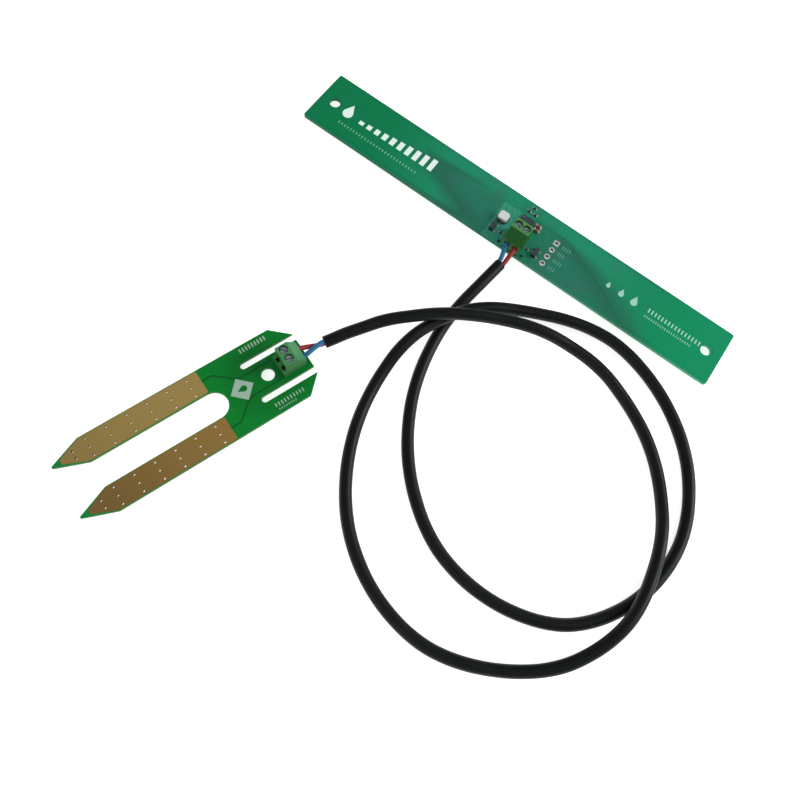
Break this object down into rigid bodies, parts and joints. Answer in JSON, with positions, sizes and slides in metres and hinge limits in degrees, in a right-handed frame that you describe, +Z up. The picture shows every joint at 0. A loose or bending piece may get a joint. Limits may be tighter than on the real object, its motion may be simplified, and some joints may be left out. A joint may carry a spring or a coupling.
{
  "type": "soil moisture sensor",
  "caption": "Two-pronged soil moisture probe board joined by a coiled two-core cable to a long battery-free wireless tag board, with screw terminals at both ends.",
  "frame": {"origin": "centre of the tag board's two mounting holes, on the underside of the board", "axes": "+X along the tag board towards its three printed drops, +Y across the tag board away from the cable, +Z up out of the component side"},
  "size_m": [0.1484, 0.1367, 0.01],
  "materials": {
    "tag_mask": "glossy solder mask on fibreglass",
    "probe_mask": "glossy solder mask on fibreglass",
    "masked_copper": "copper foil under solder mask",
    "probe_track": "copper track under solder mask",
    "plated_gold": "dull gold plating on copper",
    "tinned": "bright tin",
    "solder": "satin solder",
    "screw_steel": "nickel plated",
    "clamp_brass": "plated brass",
    "tag_terminal_plastic": "moulded nylon",
    "probe_terminal_plastic": "moulded nylon",
    "chip_epoxy": "moulded epoxy",
    "white_part": "white top face",
    "chip_ceramic": "brown ceramic",
    "resistor_body": "black glazed top",
    "legend_ink": "white printed ink",
    "jacket_black": "satin black jacket",
    "insulation_red": "glossy insulation",
    "insulation_blue": "glossy insulation",
    "copper": "bright copper strands"
  },
  "bodies": {
    "tag": {"tag_board": "tag_mask", "tag_antenna_left": "masked_copper", "tag_antenna_right": "masked_copper", "tag_header_eyelets": "tinned", "tag_terminal_housing": "tag_terminal_plastic", "tag_terminal_pins": "tinned", "tag_solder_joints": "solder", "tag_radio_chip": "chip_epoxy", "tag_power_inductor": "white_part", "tag_chip_capacitors": "chip_ceramic", "tag_chip_resistors": "resistor_body", "tag_transistors": "chip_epoxy", "tag_transistor_leads": "tinned", "tag_legend": "legend_ink"},
    "cable": {"cable_jacket": "jacket_black", "red_insulation": "insulation_red", "blue_insulation": "insulation_blue", "red_copper": "copper", "blue_copper": "copper"},
    "probe": {"probe_board": "probe_mask", "probe_electrode_red": "plated_gold", "probe_electrode_blue": "plated_gold", "probe_tracks": "probe_track", "probe_terminal_housing": "probe_terminal_plastic", "probe_terminal_pins": "tinned", "probe_solder_joints": "solder", "probe_legend": "legend_ink"},
    "tag_screw_red": {"tag_screw_red": "screw_steel"},
    "tag_screw_blue": {"tag_screw_blue": "screw_steel"},
    "tag_clamp_red": {"tag_clamp_red": "clamp_brass"},
    "tag_clamp_blue": {"tag_clamp_blue": "clamp_brass"},
    "probe_screw_red": {"probe_screw_red": "screw_steel"},
    "probe_screw_blue": {"probe_screw_blue": "screw_steel"},
    "probe_clamp_red": {"probe_clamp_red": "clamp_brass"},
    "probe_clamp_blue": {"probe_clamp_blue": "clamp_brass"}
  },
  "joints": [
    {"name": "tag_lead_swing", "type": "hinge", "parent": "tag", "child": "cable", "pos_m": [0.00355, -0.0113, 0.003], "axis": [0, 0, 1], "range_deg": [-15, 3], "deforming": ["red_insulation", "blue_insulation", "red_copper", "blue_copper"]},
    {"name": "probe_lead_swing", "type": "hinge", "parent": "cable", "child": "probe", "pos_m": [-0.02153, -0.06472, 0.003], "axis": [0, 0, 1], "range_deg": [-20, 20], "deforming": ["red_insulation", "blue_insulation", "red_copper", "blue_copper"]},
    {"name": "tag_clamp_red_lower", "type": "slide", "parent": "tag", "child": "tag_clamp_red", "axis": [0, 0, -1], "range_m": [0, 0.0009]},
    {"name": "tag_screw_red_turn", "type": "hinge", "parent": "tag", "child": "tag_screw_red", "pos_m": [0.00452, -0.0046, 0.007], "axis": [0, 0, 1], "range_deg": [0, 810]},
    {"name": "tag_clamp_blue_lower", "type": "slide", "parent": "tag", "child": "tag_clamp_blue", "axis": [0, 0, -1], "range_m": [0, 0.0009]},
    {"name": "tag_screw_blue_turn", "type": "hinge", "parent": "tag", "child": "tag_screw_blue", "pos_m": [0.00198, -0.0046, 0.007], "axis": [0, 0, 1], "range_deg": [0, 810]},
    {"name": "probe_clamp_red_lower", "type": "slide", "parent": "probe", "child": "probe_clamp_red", "axis": [0, 0, -1], "range_m": [0, 0.0009]},
    {"name": "probe_screw_red_turn", "type": "hinge", "parent": "probe", "child": "probe_screw_red", "pos_m": [-0.02476, -0.06982, 0.007], "axis": [0, 0, 1], "range_deg": [0, 810]},
    {"name": "probe_clamp_blue_lower", "type": "slide", "parent": "probe", "child": "probe_clamp_blue", "axis": [0, 0, -1], "range_m": [0, 0.0009]},
    {"name": "probe_screw_blue_turn", "type": "hinge", "parent": "probe", "child": "probe_screw_blue", "pos_m": [-0.02237, -0.07069, 0.007], "axis": [0, 0, 1], "range_deg": [0, 810]}
  ],
  "couplings": [
    {"joint": "tag_screw_red_turn", "follows": "tag_clamp_red_lower", "rad_per_m": 15708},
    {"joint": "tag_screw_blue_turn", "follows": "tag_clamp_blue_lower", "rad_per_m": 15708},
    {"joint": "probe_screw_red_turn", "follows": "probe_clamp_red_lower", "rad_per_m": 15708},
    {"joint": "probe_screw_blue_turn", "follows": "probe_clamp_blue_lower", "rad_per_m": 15708}
  ]
}
